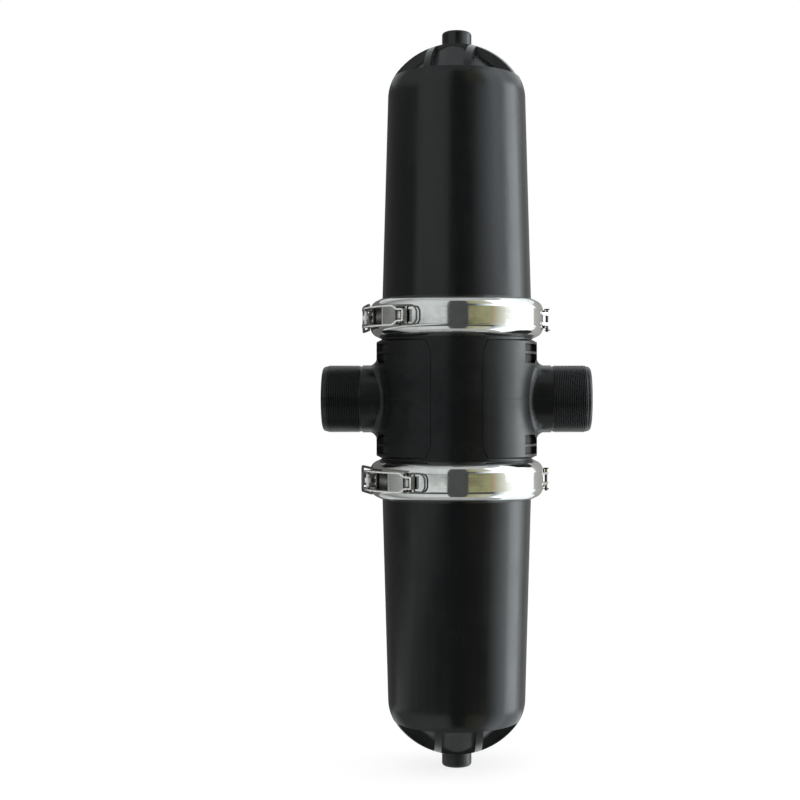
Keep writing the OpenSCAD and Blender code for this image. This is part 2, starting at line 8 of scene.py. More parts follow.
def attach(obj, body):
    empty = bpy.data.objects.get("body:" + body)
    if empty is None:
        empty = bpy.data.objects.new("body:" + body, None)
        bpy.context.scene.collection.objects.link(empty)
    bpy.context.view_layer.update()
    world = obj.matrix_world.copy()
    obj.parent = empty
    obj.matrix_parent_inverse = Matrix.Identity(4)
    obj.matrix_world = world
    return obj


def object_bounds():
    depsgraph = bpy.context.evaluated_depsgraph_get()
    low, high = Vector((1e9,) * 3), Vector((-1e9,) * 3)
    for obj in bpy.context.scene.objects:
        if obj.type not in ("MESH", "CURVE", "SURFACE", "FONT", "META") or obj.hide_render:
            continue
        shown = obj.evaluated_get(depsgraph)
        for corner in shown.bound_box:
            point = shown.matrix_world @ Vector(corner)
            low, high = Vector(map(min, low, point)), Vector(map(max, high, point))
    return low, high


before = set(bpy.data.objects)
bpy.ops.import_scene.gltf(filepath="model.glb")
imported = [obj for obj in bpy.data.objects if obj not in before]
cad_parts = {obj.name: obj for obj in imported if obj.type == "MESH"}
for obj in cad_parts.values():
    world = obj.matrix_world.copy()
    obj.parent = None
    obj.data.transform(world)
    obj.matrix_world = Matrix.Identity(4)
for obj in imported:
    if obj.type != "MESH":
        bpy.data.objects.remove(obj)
cadBox = [list(corner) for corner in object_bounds()]
mm = 0.001
halves = {"upper": 1, "lower": -1}
clampPlane = 104.4 * mm
print("frame loaded,", len(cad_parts), "nodes")


# node helpers shared by all finishes

falling = (1.0, 0.0)
arcReach = 100 * mm


def addNode(tree, kind, inputs=None, **settings):
    node = tree.nodes.new(kind)
    for name, value in settings.items():
        setattr(node, name, value)
    for name, value in (inputs or {}).items():
        if isinstance(value, bpy.types.NodeSocket):
            tree.links.new(value, node.inputs[name])
        else:
            node.inputs[name].default_value = value
    return node


def newFinish(name):
    finish = bpy.data.materials.new(name)
    finish.use_nodes = True
    tree = finish.node_tree
    return finish, tree, tree.nodes["Principled BSDF"]


def objectPoint(tree):
    return addNode(tree, "ShaderNodeTexCoord").outputs["Object"]


def parted(tree, point):
    return addNode(tree, "ShaderNodeSeparateXYZ", {"Vector": point}).outputs


def stretched(tree, point, scale):
    return addNode(tree, "ShaderNodeMapping", {"Vector": point, "Scale": scale}).outputs["Vector"]


def maths(tree, operation, first, second=0.0):
    return addNode(tree, "ShaderNodeMath", {0: first, 1: second}, operation=operation).outputs[0]


def added(tree, base, mask, amount):
    return maths(tree, "ADD", base, maths(tree, "MULTIPLY", mask, amount))


def roundPoint(tree, point):
    # arc length, radius and height about the long axis, so that grain can follow a turned surface
    parts = parted(tree, point)
    turn = maths(tree, "ARCTAN2", parts["Y"], parts["X"])
    flat = addNode(tree, "ShaderNodeVectorMath", {0: point, 1: (1, 1, 0)}, operation="MULTIPLY")
    reach = addNode(tree, "ShaderNodeVectorMath", {0: flat.outputs["Vector"]}, operation="LENGTH")
    joined = addNode(tree, "ShaderNodeCombineXYZ", {
        "X": maths(tree, "MULTIPLY", turn, arcReach), "Y": reach.outputs["Value"], "Z": parts["Z"]})
    return joined.outputs["Vector"]


def noise(tree, point, scale, detail=3.0, rough=0.55):
    node = addNode(tree, "ShaderNodeTexNoise",
                   {"Vector": point, "Scale": scale, "Detail": detail, "Roughness": rough})
    return node.outputs["Fac"]


def mapped(tree, value, source, target=(0.0, 1.0)):
    node = addNode(tree, "ShaderNodeMapRange", {
        "Value": value, "From Min": source[0], "From Max": source[1], "To Min": target[0], "To Max": target[1]})
    return node.outputs["Result"]


def mixed(tree, amount, first, second):
    node = addNode(tree, "ShaderNodeMix", {"Factor": amount}, data_type="RGBA")
    for socket, value in ((node.inputs[6], first), (node.inputs[7], second)):
        if isinstance(value, bpy.types.NodeSocket):
            tree.links.new(value, socket)
        else:
            socket.default_value = (*value, 1)
    return node.outputs[2]


def bumped(tree, height, strength, distance, under=None):
    node = addNode(tree, "ShaderNodeBump", {"Height": height, "Strength": strength, "Distance": distance})
    if under is not None:
        tree.links.new(under, node.inputs["Normal"])
    return node.outputs["Normal"]


def openness(tree, reach, samples):
    return addNode(tree, "ShaderNodeAmbientOcclusion", {"Distance": reach}, samples=samples).outputs["AO"]


def wire(tree, shader, **sockets):
    names = {"colour": "Base Color", "roughness": "Roughness", "normal": "Normal"}
    for name, value in sockets.items():
        tree.links.new(value, shader.inputs[names[name]])


# finishes

pocketLook = {"tone": (0.021, 0.022, 0.023), "reach": 25 * mm, "heights": (400 * mm, 410 * mm),
              "closed": (0.4, 0.88), "dull": 0.2}


def mattPockets(tree, point):
    # the pockets of the domes are left as moulded, without polish, and take a lighter tone where they are closed in
    height = maths(tree, "ABSOLUTE", parted(tree, point)["Z"])
    closed = mapped(tree, openness(tree, pocketLook["reach"], 4), pocketLook["closed"], falling)
    return maths(tree, "MULTIPLY", closed, mapped(tree, height, pocketLook["heights"]))


saddleLook = {"corner": (59.5 * mm, 78.2 * mm), "edge": (33.0 * mm, 41.0 * mm), "top": (78.4 * mm, 79.0 * mm),
              "neck": (96.0 * mm, 108.0 * mm), "soft": 0.6 * mm, "dull": 0.09}


def saddleFace(tree, point):
    # the outlet's saddle begins at a plane beside the middle, which turns outwards at the corners,
    # and ends at the neck
    parts = parted(tree, point)
    height = maths(tree, "ABSOLUTE", parts["Z"])
    edge = mapped(tree, height, saddleLook["corner"], saddleLook["edge"])
    face = mapped(tree, maths(tree, "SUBTRACT", parts["X"], edge), (0.0, saddleLook["soft"]))
    face = maths(tree, "MULTIPLY", face, mapped(tree, parts["X"], saddleLook["neck"], falling))
    return maths(tree, "MULTIPLY", face, mapped(tree, height, saddleLook["top"], falling))


plasticLook = {
    "deep": (0.0034, 0.0038, 0.0042), "worn": (0.010, 0.011, 0.012), "polish": (0.20, 0.28), "gloss": 0.45,
    "cloudScale": 16, "cloudPolish": (-0.03, 0.04), "dustScale": 420, "dustShare": (0.1, 0.8),
    "scuffStretch": (60, 60, 14), "scuffScale": 1.6, "scratchWidth": 0.006, "scratchDull": 0.16,
    "sinkScale": 22, "sinkHeight": 0.6 * mm, "grainScale": 1500, "grainHeight": 0.05 * mm,
}


def blackPlastic(name, drawScale, smooth=0.0, pockets=False, saddle=False):
    # drawScale stretches the polishing lines of the mould along the way the piece was drawn
    look = plasticLook
    finish, tree, shader = newFinish(name)
    point = objectPoint(tree)
    lines = noise(tree, stretched(tree, point, drawScale), 1.0, 4.0)
    cloud = noise(tree, point, look["cloudScale"], 2.0)
    dust = noise(tree, point, look["dustScale"], 5.0, 0.7)
    scuff = addNode(tree, "ShaderNodeTexVoronoi", {
        "Vector": stretched(tree, point, look["scuffStretch"]), "Scale": look["scuffScale"]},
        feature="DISTANCE_TO_EDGE")
    scratch = mapped(tree, scuff.outputs["Distance"], (0.0, look["scratchWidth"]), falling)
    scratch = maths(tree, "MULTIPLY", scratch, mapped(tree, cloud, (0.52, 0.66)))
    bloom = maths(tree, "MULTIPLY", mapped(tree, dust, (0.5, 0.8)), mapped(tree, cloud, (0.4, 0.7), look["dustShare"]))
    tone = mixed(tree, bloom, look["deep"], look["worn"])
    sheen = mapped(tree, lines, (0.3, 0.7), [level - smooth for level in look["polish"]])
    sheen = maths(tree, "ADD", sheen, mapped(tree, cloud, (0.35, 0.65), look["cloudPolish"]))
    sheen = added(tree, sheen, scratch, look["scratchDull"])
    if pockets:
        matt = mattPockets(tree, point)
        tone = mixed(tree, matt, tone, pocketLook["tone"])
        sheen = added(tree, sheen, matt, pocketLook["dull"])
    if saddle:
        sheen = added(tree, sheen, saddleFace(tree, point), saddleLook["dull"])
    sink = bumped(tree, noise(tree, point, look["sinkScale"], 1.0), 0.25, look["sinkHeight"])
    grain = bumped(tree, noise(tree, point, look["grainScale"], 2.0), 0.3, look["grainHeight"], sink)
    shader.inputs["Specular IOR Level"].default_value = look["gloss"]
    wire(tree, shader, colour=tone, roughness=sheen, normal=grain)
    return finish


# painted shade on the band where the lever lies over it
leverShade = {"angles": (36, 70), "half": 11.2 * mm, "soft": 1.5 * mm, "patchScale": 120, "patchShare": (0.93, 1.0)}


def shadeMask(tree, place, stainAndShade):
    # a soft patch of painted shade on a turned wall, between two arcs and within a height from the clamp's plane
    parts = parted(tree, place)
    soft = stainAndShade["soft"]
    near, far = (-arcReach * math.radians(90 + angle) for angle in stainAndShade["angles"])
    drop = maths(tree, "SUBTRACT", maths(tree, "ABSOLUTE", parts["Z"]), clampPlane)
    drop = maths(tree, "ABSOLUTE", drop)
    mask = maths(tree, "MULTIPLY", mapped(tree, parts["X"], (near, near - soft)),
                 mapped(tree, parts["X"], (far, far + soft)))
    mask = maths(tree, "MULTIPLY", mask, mapped(tree, drop, (stainAndShade["half"], stainAndShade["half"] - soft)))
    patchy = mapped(tree, noise(tree, place, stainAndShade["patchScale"], 3.0), (0.25, 0.6), stainAndShade["patchShare"])
    return maths(tree, "MULTIPLY", mask, patchy)


steelLook = {
    "bright": (0.83, 0.83, 0.81), "dull": (0.70, 0.70, 0.675), "polish": (0.045, 0.10),
    "smudgeScale": 55, "smudgeDull": 0.06,
    # painted shade: the dark colour, its reach and the dulling where the steel is closed in, and the shut range for
    # the lever's patch
    "paintedShade": (0.030, 0.027, 0.022), "shadeReach": 14 * mm, "shadeDull": 0.25, "shut": (0.82, 0.96),
    "waveScale": 34, "waveHeight": 0.3 * mm, "lineHeight": 0.02 * mm,
}


def polishedSteel(name, lineScale, turned=True, dullness=0.0, shade=1.0, hollow=(0.1, 0.55), stainAndShade=None, metal=1.0):
    # fine polishing lines run round the clamp on turned pieces, and along the wire on the rest;
    # painted shade darkens the colour and dulls the polish where the surface is closed in, from the second hollow
    # value down to the first, and a given patch of painted shade shows where it is shut in
    look = steelLook
    finish, tree, shader = newFinish(name)
    point = objectPoint(tree)
    place = roundPoint(tree, point) if turned else point
    lines = noise(tree, stretched(tree, place, lineScale), 1.0, 3.0)
    smudge = noise(tree, point, look["smudgeScale"], 3.0)
    polish = mapped(tree, lines, (0.3, 0.7), [level + dullness for level in look["polish"]])
    polish = maths(tree, "ADD", polish, mapped(tree, smudge, (0.45, 0.7), (0.0, look["smudgeDull"])))
    bright, dull = ([shade * part for part in look[key]] for key in ("bright", "dull"))
    tone = mixed(tree, mapped(tree, smudge, (0.4, 0.75)), bright, dull)
    # painted shade: ambient occlusion darkens the colour and dulls the polish where the surface is closed in
    air = openness(tree, look["shadeReach"], 6)
    paintedShade = mapped(tree, air, hollow, falling)
    # a patch of painted shade under the lever, kept only while the lever closes the spot in
    if stainAndShade:
        shut = maths(tree, "MULTIPLY", mapped(tree, air, look["shut"], falling), shadeMask(tree, place, stainAndShade))
        paintedShade = maths(tree, "MAXIMUM", paintedShade, shut)
    tone = mixed(tree, paintedShade, tone, look["paintedShade"])
    polish = added(tree, polish, paintedShade, look["shadeDull"])
    wave = bumped(tree, noise(tree, point, look["waveScale"], 1.0), 0.12, look["waveHeight"])
    fine = bumped(tree, lines, 0.15, look["lineHeight"], wave)
    shader.inputs["Metallic"].default_value = metal
    wire(tree, shader, colour=tone, roughness=polish, normal=fine)
    return finish


redLook = {"deep": (0.36, 0.008, 0.012), "light": (0.50, 0.016, 0.020), "polish": (0.28, 0.40),
           "flowStretch": (30, 30, 9), "grainScale": 1300, "grainHeight": 0.05 * mm}


def redPlastic(name):
    finish, tree, shader = newFinish(name)
    point = objectPoint(tree)
    flow = noise(tree, stretched(tree, point, redLook["flowStretch"]), 1.0, 3.0)
    grain = noise(tree, point, redLook["grainScale"], 2.0)
    tone = mixed(tree, mapped(tree, flow, (0.35, 0.65)), redLook["deep"], redLook["light"])
    wire(tree, shader, colour=tone, roughness=mapped(tree, flow, (0.3, 0.7), redLook["polish"]),
         normal=bumped(tree, grain, 0.3, redLook["grainHeight"]))
    return finish


clothLook = {"thread": (0.42, 0.40, 0.36), "gap": (0.10, 0.095, 0.085), "pitch": 0.8 * mm, "polish": (0.85, 0.6),
             "stainScale": 45, "stainShare": (0.0, 0.35), "threadHeight": 0.3 * mm}


def screenCloth(name):
    # two crossed sets of threads, one round the cylinder and one along it
    finish, tree, shader = newFinish(name)
    point = objectPoint(tree)
    place = roundPoint(tree, point)
    rate = 1 / clothLook["pitch"] / 2
    sets = [addNode(tree, "ShaderNodeTexWave", {"Vector": place, "Scale": rate / math.pi},
                    bands_direction=way).outputs["Fac"] for way in ("X", "Z")]
    weave = maths(tree, "MAXIMUM", *sets)
    stainAndShade = noise(tree, point, clothLook["stainScale"], 3.0)
    tone = mixed(tree, weave, clothLook["gap"], clothLook["thread"])
    tone = mixed(tree, mapped(tree, stainAndShade, (0.4, 0.7), clothLook["stainShare"]), tone, clothLook["gap"])
    wire(tree, shader, colour=tone, roughness=mapped(tree, weave, (0.0, 1.0), clothLook["polish"]),
         normal=bumped(tree, weave, 0.6, clothLook["threadHeight"]))
    return finish


rubberLook = {"deep": (0.006, 0.006, 0.006), "chalk": (0.03, 0.03, 0.029), "polish": (0.5, 0.72),
              "chalkScale": 140, "grainScale": 2200, "grainHeight": 0.06 * mm}


def sealRubber(name):
    finish, tree, shader = newFinish(name)
    point = objectPoint(tree)
    chalk = noise(tree, point, rubberLook["chalkScale"], 4.0)
    tone = mixed(tree, mapped(tree, chalk, (0.5, 0.8)), rubberLook["deep"], rubberLook["chalk"])
    grain = noise(tree, point, rubberLook["grainScale"], 2.0)
    wire(tree, shader, colour=tone, roughness=mapped(tree, chalk, (0.3, 0.7), rubberLook["polish"]),
         normal=bumped(tree, grain, 0.35, rubberLook["grainHeight"]))
    return finish


bandLines, plateLines, wireLines = (18, 900, 1500), (160, 160, 900), (300, 300, 120)

housingFinish = blackPlastic("housingPlastic", (140, 140, 5), pockets=True)
bodyFinish = blackPlastic("bodyPlastic", (70, 9, 70), saddle=True)
threadFinish = blackPlastic("threadPlastic", (40, 160, 160), 0.02)
bandFinish = polishedSteel("bandSteel", bandLines, hollow=(0.0, 0.35), stainAndShade=leverShade)
latchFinish = polishedSteel("latchSteel", plateLines, turned=False, dullness=0.22, hollow=(0.05, 0.55))
lipFinish = polishedSteel("lipSteel", plateLines, turned=False, dullness=0.4, shade=1.1, hollow=(0.0, 0.3), metal=0.5)
fittingFinish = polishedSteel("fittingSteel", plateLines, turned=False, dullness=0.12, shade=0.4)
wireFinish = polishedSteel("wireSteel", wireLines, turned=False, dullness=0.08, shade=0.24)
pinFinish = polishedSteel("pinSteel", wireLines, turned=False, dullness=0.2, shade=0.12)
redFinish = redPlastic("framePlastic")
clothFinish = screenCloth("screenWeave")
rubberFinish = sealRubber("sealRubber")

nodeFinish = {
    "center_body": bodyFinish, "housing": housingFinish, "flange_seal": rubberFinish,
    "inner_seal": rubberFinish, "outer_seal": rubberFinish, "screen_frame": redFinish,
    "screen_cloth": clothFinish, "front_band": bandFinish, "rear_band": bandFinish,
    "hinge_pin": pinFinish, "split_pin": pinFinish, "keeper": fittingFinish, "lever_bracket": fittingFinish,
    "lever_pin": lipFinish, "lever": latchFinish, "bail": wireFinish, "pull_ring": wireFinish,
}
for nodeName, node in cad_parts.items():
    node.data.materials.clear()
    node.data.materials.append(nodeFinish[nodeName.removeprefix("upper_").removeprefix("lower_")])
print("finishes set on", len(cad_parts), "nodes")


# meshes of the added pieces

def newPiece(name, points, faces, finish, body, slot):
    mesh = bpy.data.meshes.new(name)
    mesh.from_pydata([tuple(p) for p in points], [], faces)
    mesh.validate()
    mesh.update()
    for face in mesh.polygons:
        face.use_smooth = True
    mesh.materials.append(finish)
    piece = bpy.data.objects.new(name, mesh)
    bpy.context.collection.objects.link(piece)
    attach(piece, body)
    return piece


def ringFaces(rings, sides, closed=False):
    # faces between rings in order, and from the last ring back to the first when closed
    faces = []
    for i in range(rings if closed else rings - 1):
        near, far = i * sides, (i + 1) % rings * sides
        for k in range(sides):
            nextK = (k + 1) % sides
            faces.append((near + k, near + nextK, far + nextK, far + k))
    return faces


def loftRings(rings):
    return [p for ring in rings for p in ring], ringFaces(len(rings), len(rings[0]), closed=True)


def sweptTube(path, radius, sides=10):
    # a round wire along a path, closed at both ends
    points = []
    side = None
    for i, p in enumerate(path):
        way = (path[min(i + 1, len(path) - 1)] - path[max(i - 1, 0)]).normalized()
        if side is None:
            side = way.orthogonal().normalized()
        side = (side - way * side.dot(way)).normalized()
        up = way.cross(side)
        for k in range(sides):
            a = 2 * math.pi * k / sides
            points.append(p + radius * (math.cos(a) * side + math.sin(a) * up))
    faces = ringFaces(len(path), sides)
    last = len(points)
    points += [path[0], path[-1]]
    for k in range(sides):
        nextK = (k + 1) % sides
        faces.append((last, nextK, k))
        faces.append((last + 1, last - sides + k, last - sides + nextK))
    return points, faces


def turnedPoint(axis, along, radius, angle):
    # a point round the X or the Z axis
    a, b = radius * math.cos(angle), radius * math.sin(angle)
    return Vector((along, a, b)) if axis == "X" else Vector((a, b, along))


ridgeShape = {"steps": 8, "fade": 1.5, "crest": 1.6, "flank": 4.0}


def threadSleeve(axis, thread, side, turns):
    # a helical ridge on a root surface, faded out at both ends; a negative depth stands inwards
    start, end = side * thread["start"], side * thread["end"]
    root, depth, pitch = thread["root"], thread["depth"], thread["pitch"]
    rows = int(abs(end - start) / pitch * ridgeShape["steps"])
    fade = ridgeShape["fade"] * pitch
    angles = [2 * math.pi * k / turns for k in range(turns)]
    rings = []
    for i in range(rows + 1):
        along = start + (end - start) * i / rows
        edge = min(abs(along - start), abs(end - along), fade) / fade
        ring = []
        for k, angle in enumerate(angles):
            phase = (abs(along - start) / pitch - k / turns) % 1.0
            ridge = min(max(ridgeShape["crest"] - ridgeShape["flank"] * abs(phase - 0.5), 0.0), 1.0)
            ring.append(turnedPoint(axis, along, root + depth * ridge * edge, angle))
        rings.append(ring)
    under = root - math.copysign(thread["under"], depth)
    for along in (end, start):
        rings.append([turnedPoint(axis, along, under, angle) for angle in angles])
    return loftRings(rings)


portThread = {"start": 124.2 * mm, "end": 170.0 * mm, "root": 42.45 * mm, "depth": 1.4 * mm,
              "pitch": 2.31 * mm, "under": 0.6 * mm}
for name, side in (("outletThread", 1), ("inletThread", -1)):
    newPiece(name, *threadSleeve("X", portThread, side, 96), threadFinish, "filter", "black_plastic")
print("port threads made")

flushThread = {"start": 477.6 * mm, "end": 446.0 * mm, "root": 12.05 * mm, "depth": -0.7 * mm,
               "pitch": 1.81 * mm, "under": 0.6 * mm}
for half, side in halves.items():
    newPiece(half + "FlushThread", *threadSleeve("Z", flushThread, side, 64), threadFinish, "filter", "black_plastic")
print("flush port threads made")


# parting seam of the mould along the front and back of both port necks

seam = {"from": 50 * mm, "to": 122 * mm, "steps": 60, "radius": 0.45 * mm, "sides": 8, "sink": 0.12 * mm, "far": 0.2}
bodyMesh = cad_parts["center_body"].data
bodySurface = BVHTree.FromPolygons([v.co for v in bodyMesh.vertices], [p.vertices for p in bodyMesh.polygons])
for portName, side in (("outlet", 1), ("inlet", -1)):
    for faceName, face in (("Front", -1), ("Back", 1)):
        path = []
        for i in range(seam["steps"] + 1):
            x = side * (seam["from"] + (seam["to"] - seam["from"]) * i / seam["steps"])
            hit = bodySurface.ray_cast(Vector((x, face * seam["far"], 0)), Vector((0, -face, 0)))[0]
            path.append(hit - Vector((0, face * seam["sink"], 0)))
        newPiece(portName + faceName + "Seam", *sweptTube(path, seam["radius"], seam["sides"]), bodyFinish,
                 "filter", "black_plastic")
print("parting seams made")


# small trim of the clamps, placed by an angle from the front toward the left

clampSet = {"turn": {"upper": 0.0, "lower": 5.5}, "wall": 113 * mm, "foot": 115.1 * mm, "hinge": 118.4 * mm}


def clampPoint(half, spot):
    turn = math.radians(clampSet["turn"][half])
    x, y, z = spot
    return Vector((x * math.cos(turn) - y * math.sin(turn), x * math.sin(turn) + y * math.cos(turn),
                   z + halves[half] * clampPlane))


headShape = {"rings": 5, "sides": 24, "rimSink": 0.2 * mm}


def domedHead(half, angle, height, seat, radius, rise):
    # a low domed head on a round wall, with a rim that goes a little into the wall
    rings, sides = headShape["rings"], headShape["sides"]
    points = []
    for i in range(rings + 1):
        slope = 0.5 * math.pi * i / rings
        reach = radius * math.cos(slope)
        away = seat + rise * math.sin(slope) - (headShape["rimSink"] if i == 0 else 0)
        for k in range(sides):
            a = 2 * math.pi * k / sides
            turn = math.radians(angle) + reach * math.cos(a) / seat
            points.append(clampPoint(half, (-away * math.sin(turn), -away * math.cos(turn),
                                            height + reach * math.sin(a))))
    faces = ringFaces(rings + 1, sides)
    faces.append(tuple(range(sides - 1, -1, -1)))
    return points, faces


def joinedParts(parts):
    points, faces = [], []
    for partPoints, partFaces in parts:
        faces += [tuple(len(points) + k for k in face) for face in partFaces]
        points += partPoints
    return points, faces


trim = {
    "FrontWelds": {"body": "_front_half", "angles": (-79, -74), "heights": (-6.6, 6.6), "seat": "wall",
                   "radius": 2.0 * mm, "rise": 0.35 * mm},
    "RearWelds": {"body": "", "angles": (-101, -106), "heights": (-8.4, 8.4), "seat": "wall",
                  "radius": 2.0 * mm, "rise": 0.35 * mm},
    "KeeperRivets": {"body": "", "angles": (106,), "heights": (-5.0, 5.0), "seat": "foot",
                     "radius": 2.6 * mm, "rise": 1.3 * mm},
    "BracketRivets": {"body": "_front_half", "angles": (70,), "heights": (-4.2, 4.2), "seat": "foot",
                      "radius": 2.2 * mm, "rise": 1.1 * mm},
}
splitLegs = {"radius": 0.55 * mm, "drop": -14.25 * mm,
             "paths": [[(0, 3.4), (0.5, 4.6), (2.2, 5.7), (4.8, 6.2)],
                       [(0, 3.4), (-0.5, 4.6), (-1.6, 6.0), (-2.2, 7.6)]]}
for half in halves:
    for trimName, item in trim.items():
        heads = [domedHead(half, angle, height * mm, clampSet[item["seat"]], item["radius"], item["rise"])
                 for angle in item["angles"] for height in item["heights"]]
        body = half + item["body"] if item["body"] else "filter"
        newPiece(half + trimName, *joinedParts(heads), latchFinish, body, "polished_steel")
    legs = []
    for path in splitLegs["paths"]:
        spots = [clampPoint(half, (clampSet["hinge"] + x * mm, y * mm, splitLegs["drop"])) for x, y in path]
        legs.append(sweptTube(spots, splitLegs["radius"]))
    newPiece(half + "SplitLegs", *joinedParts(legs), pinFinish, "filter", "polished_steel")
print("clamp trim made")


# rolled lip round the edge of each lever, and the pressed floor of its tip

leverSet = {"tipAngle": 37.0, "outer": 124.0 * mm}
lip = {"radius": 1.0 * mm, "sides": 12, "sink": 0.2 * mm, "railAngles": (72.5, 41.4), "railHeight": 12.0,
       "railSteps": 16,
       "tip": [(-8.2, 11.7), (-4.5, 9.6), (-0.6, 7.3), (1.0, 7.0), (6.9, 7.0), (8.1, 6.5), (8.5, 5.4)]}
tipFloor = {"from": -2.1, "to": 7.45, "half": 5.95, "depth": 1.7 * mm, "dish": 0.5 * mm, "steps": 12,
            "thickness": 0.4 * mm}


def tipPoint(half, along, reach, height):
    # along the tip, away from the axis, and up, in the frame of the lever's free end
    turn = math.radians(leverSet["tipAngle"])
    return clampPoint(half, (along * mm * math.cos(turn) - reach * math.sin(turn),
                             -along * mm * math.sin(turn) - reach * math.cos(turn), height * mm))


def lipPath(half):
    reach = leverSet["outer"] - lip["sink"]
    start, end = lip["railAngles"]
    rail = []
    for i in range(lip["railSteps"] + 1):
        angle = math.radians(start + (end - start) * i / lip["railSteps"])
        rail.append((-reach * math.sin(angle), -reach * math.cos(angle), lip["railHeight"] * mm))
    path = [clampPoint(half, spot) for spot in rail]
    path += [tipPoint(half, along, reach, height) for along, height in lip["tip"]]
    path += [tipPoint(half, along, reach, -height) for along, height in reversed(lip["tip"])]
    path += [clampPoint(half, (x, y, -z)) for x, y, z in reversed(rail)]
    return path


def tipFloorMesh(half):
    # a thin dished plate: each ring runs over its top and back along its underside
    count = tipFloor["steps"]
    rings = []
    for i in range(count + 1):
        share = i / count
        along = tipFloor["from"] + (tipFloor["to"] - tipFloor["from"]) * share
        ring = []
        for side, drop in ((1, 0.0), (-1, tipFloor["thickness"])):
            for k in range(count + 1):
                across = side * (2 * k / count - 1)
                dish = tipFloor["dish"] * (1 - across ** 4) * (1 - (2 * share - 1) ** 4)
                ring.append(tipPoint(half, along, leverSet["outer"] - tipFloor["depth"] - dish - drop,
                                     across * tipFloor["half"]))
        rings.append(ring)
    return loftRings(rings)


for half in halves:
    leverBody = half + "_latch_lever"
    newPiece(half + "LeverLip", *sweptTube(lipPath(half), lip["radius"], lip["sides"]), lipFinish, leverBody,
             "polished_steel")
    newPiece(half + "TipFloor", *tipFloorMesh(half), lipFinish, leverBody, "polished_steel")
print("lever lips and tips made")


# camera at the photograph's viewing angle

cameraSet = {"distance": 1.866, "lens": 64, "height": 0.0, "shiftX": -0.0709, "shiftY": -0.0014}
cameraData = bpy.data.cameras.new("camera")
cameraData.lens = cameraSet["lens"]
cameraData.shift_x = cameraSet["shiftX"]
cameraData.shift_y = cameraSet["shiftY"]
camera = bpy.data.objects.new("camera", cameraData)
bpy.context.collection.objects.link(camera)
camera.location = (0, -cameraSet["distance"], cameraSet["height"])
camera.rotation_euler = (math.radians(90), 0, 0)
bpy.context.scene.camera = camera


# floor, studio cards and lamps

floorSet = {"radius": 14, "sides": 96, "paint": (0.45, 0.45, 0.45), "speck": (0.48, 0.48, 0.48), "speckScale": 30,
            "glow": 0.76, "roughness": 0.9, "drop": 0.2 * mm}


def makeFloor(height):
    sides = floorSet["sides"]
    points = [(floorSet["radius"] * math.cos(2 * math.pi * k / sides),
               floorSet["radius"] * math.sin(2 * math.pi * k / sides), height) for k in range(sides)]
    mesh = bpy.data.meshes.new("floor")
    mesh.from_pydata(points, [], [tuple(range(sides))])
    floor = bpy.data.objects.new("floor", mesh)
    bpy.context.collection.objects.link(floor)
    finish, tree, shader = newFinish("floorPaint")
    shader.inputs["Roughness"].default_value = floorSet["roughness"]
    shader.inputs["Specular IOR Level"].default_value = 0.0
    shader.inputs["Emission Color"].default_value = (1, 1, 1, 1)
    shader.inputs["Emission Strength"].default_value = floorSet["glow"]
    speck = noise(tree, objectPoint(tree), floorSet["speckScale"], 3.0)
    wire(tree, shader, colour=mixed(tree, speck, floorSet["paint"], floorSet["speck"]))
    mesh.materials.append(finish)
    floor.visible_glossy = False


makeFloor(cadBox[0][2] - floorSet["drop"])

